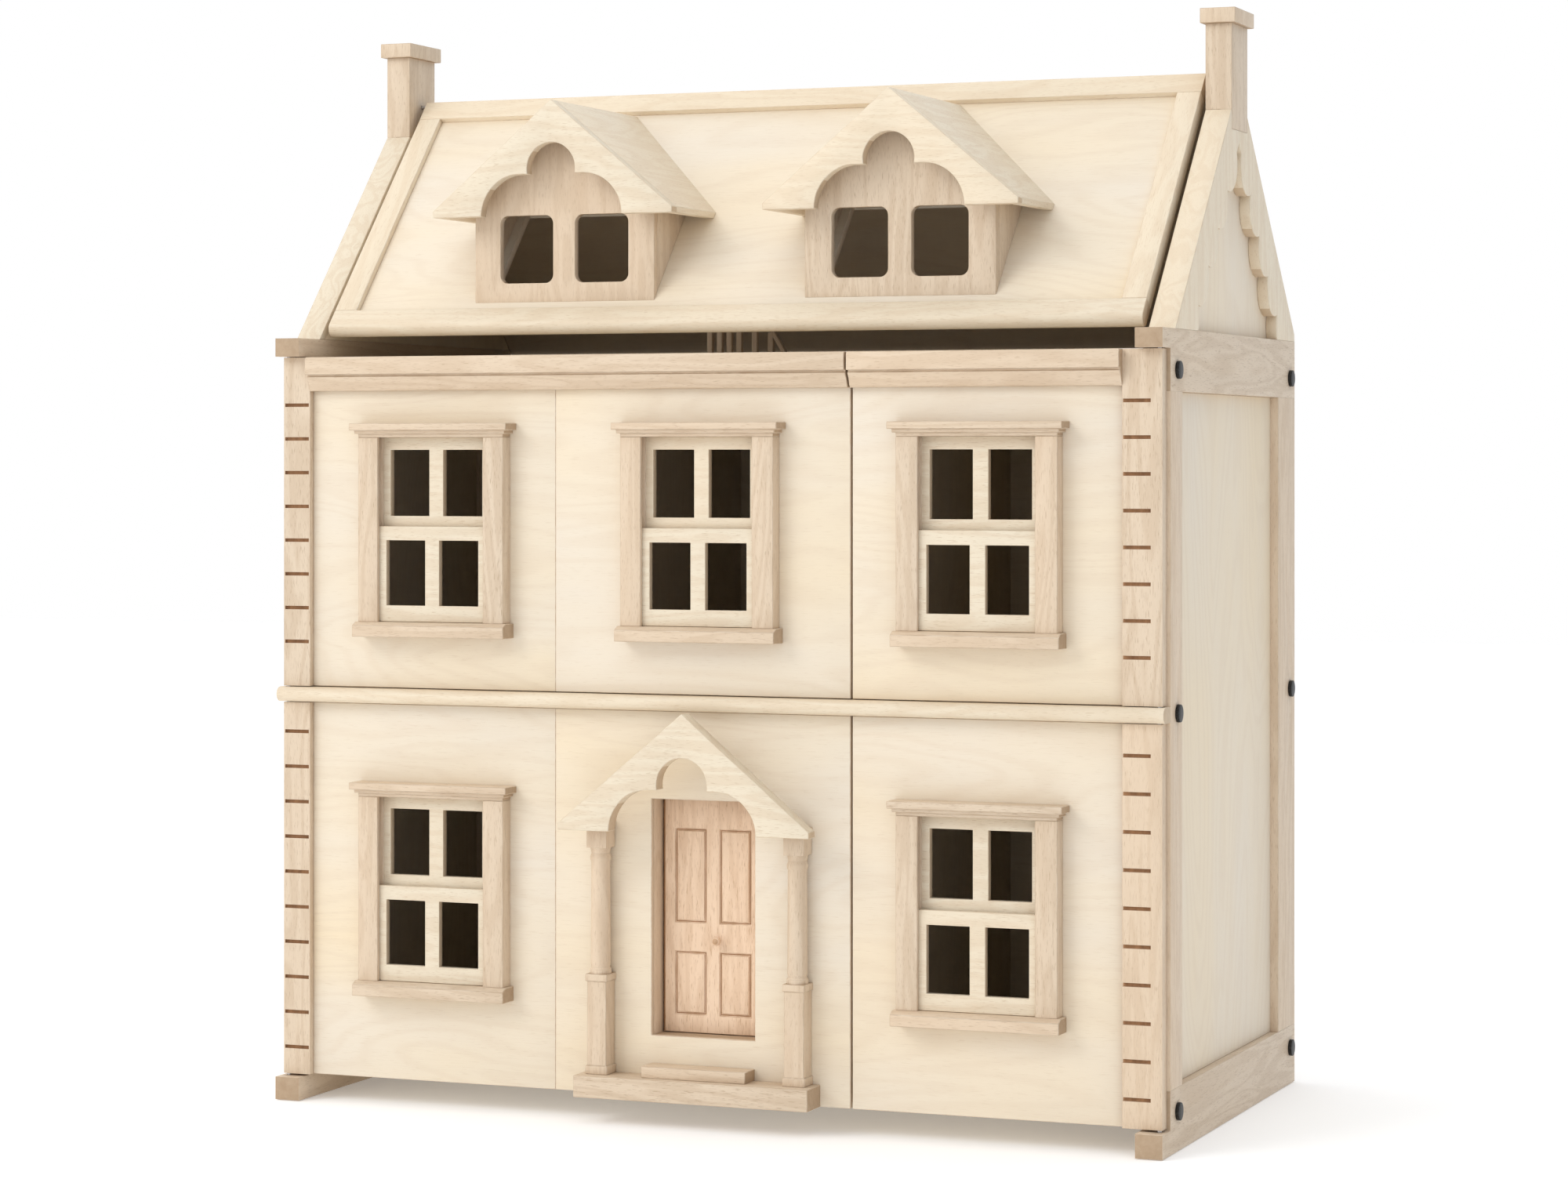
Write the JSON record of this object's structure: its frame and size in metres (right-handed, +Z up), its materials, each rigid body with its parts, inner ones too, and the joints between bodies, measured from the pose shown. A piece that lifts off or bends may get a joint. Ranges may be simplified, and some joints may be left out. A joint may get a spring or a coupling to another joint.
{
  "type": "wooden doll's house",
  "caption": "Natural wood doll's house with hinged front doors, sliding sash windows, a columned porch, a lift-up roof panel with dormers, and chimneys on the gable ends.",
  "frame": {"origin": "on the floor, midway between the end walls and midway between the porch front and the back", "axes": "+Z up, -Y out of the house front, +X to the right seen from the front"},
  "size_m": [0.667, 0.375, 0.7745],
  "materials": {
    "plywood": "satin, clear lacquer",
    "rubberwood": "satin, clear lacquer",
    "door_wood": "satin, clear lacquer",
    "black_bolt": "black oxide",
    "steel_pin": "plain"
  },
  "bodies": {
    "house": {"left_chimney": "rubberwood", "left_gable_panel": "plywood", "left_rake_boards": "rubberwood", "left_wall_frame": "rubberwood", "left_wall_panel": "plywood", "right_chimney": "rubberwood", "right_gable_panel": "plywood", "right_rake_boards": "rubberwood", "right_wall_frame": "rubberwood", "right_wall_panel": "plywood", "ground_floor": "plywood", "first_floor": "rubberwood", "attic_floor": "plywood", "partitions": "plywood", "back_panel": "plywood", "rear_roof_panel": "plywood", "lower_staircase": "rubberwood", "upper_staircase": "rubberwood", "stair_balustrade": "rubberwood", "wall_bolts": "black_bolt", "hinge_pins": "steel_pin"},
    "roof_flap": {"roof_frame": "rubberwood", "roof_field": "plywood", "left_dormer_bargeboard": "rubberwood", "left_dormer_roof": "rubberwood", "left_dormer_walls": "rubberwood", "right_dormer_bargeboard": "rubberwood", "right_dormer_roof": "rubberwood", "right_dormer_walls": "rubberwood"},
    "upper_left_door": {"upper_left_door_panels": "plywood", "upper_left_quoin": "rubberwood", "upper_left_cornice": "rubberwood", "upper_left_door_top_sashes": "rubberwood", "upper_left_door_window_casings": "rubberwood"},
    "upper_right_door": {"upper_right_door_panel": "plywood", "upper_right_quoin": "rubberwood", "upper_right_cornice": "rubberwood", "upper_right_door_top_sashes": "rubberwood", "upper_right_door_window_casings": "rubberwood"},
    "lower_left_door": {"lower_left_door_panels": "plywood", "lower_left_quoin": "rubberwood", "lower_left_door_top_sashes": "rubberwood", "lower_left_door_window_casings": "rubberwood", "entry_lining": "rubberwood", "front_door_pins": "steel_pin", "porch_base": "rubberwood", "porch_columns": "rubberwood", "porch_gable_board": "rubberwood"},
    "lower_right_door": {"lower_right_door_panel": "plywood", "lower_right_quoin": "rubberwood", "lower_right_door_top_sashes": "rubberwood", "lower_right_door_window_casings": "rubberwood"},
    "entrance_door": {"front_door": "door_wood", "door_knob": "door_wood"},
    "upper_left_sash": {"upper_left_sliding_sash": "rubberwood"},
    "upper_centre_sash": {"upper_centre_sliding_sash": "rubberwood"},
    "upper_right_sash": {"upper_right_sliding_sash": "rubberwood"},
    "lower_left_sash": {"lower_left_sliding_sash": "rubberwood"},
    "lower_right_sash": {"lower_right_sliding_sash": "rubberwood"}
  },
  "joints": [
    {"name": "upper_left_door_hinge", "type": "hinge", "parent": "house", "child": "upper_left_door", "pos_m": [-0.32475, -0.15165, 0.41465], "axis": [0, 0, -1], "range_deg": [0, 175]},
    {"name": "upper_right_door_hinge", "type": "hinge", "parent": "house", "child": "upper_right_door", "pos_m": [0.32475, -0.15165, 0.41465], "axis": [0, 0, 1], "range_deg": [0, 175]},
    {"name": "lower_left_door_hinge", "type": "hinge", "parent": "house", "child": "lower_left_door", "pos_m": [-0.32475, -0.15165, 0.15145], "axis": [0, 0, -1], "range_deg": [0, 175]},
    {"name": "lower_right_door_hinge", "type": "hinge", "parent": "house", "child": "lower_right_door", "pos_m": [0.32475, -0.15165, 0.15145], "axis": [0, 0, 1], "range_deg": [0, 175]},
    {"name": "roof_hinge", "type": "hinge", "parent": "house", "child": "roof_flap", "pos_m": [0, 0.0313, 0.7276], "axis": [-1, 0, 0], "range_deg": [0, 145]},
    {"name": "entrance_door_hinge", "type": "hinge", "parent": "lower_left_door", "child": "entrance_door", "pos_m": [-0.03775, -0.128, 0.142], "axis": [0, 0, 1], "range_deg": [0, 88]},
    {"name": "upper_left_sash_slide", "type": "slide", "parent": "upper_left_door", "child": "upper_left_sash", "axis": [0, 0, 1], "range_m": [0, 0.062]},
    {"name": "upper_centre_sash_slide", "type": "slide", "parent": "upper_left_door", "child": "upper_centre_sash", "axis": [0, 0, 1], "range_m": [0, 0.062]},
    {"name": "upper_right_sash_slide", "type": "slide", "parent": "upper_right_door", "child": "upper_right_sash", "axis": [0, 0, 1], "range_m": [0, 0.062]},
    {"name": "lower_left_sash_slide", "type": "slide", "parent": "lower_left_door", "child": "lower_left_sash", "axis": [0, 0, 1], "range_m": [0, 0.062]},
    {"name": "lower_right_sash_slide", "type": "slide", "parent": "lower_right_door", "child": "lower_right_sash", "axis": [0, 0, 1], "range_m": [0, 0.062]}
  ]
}
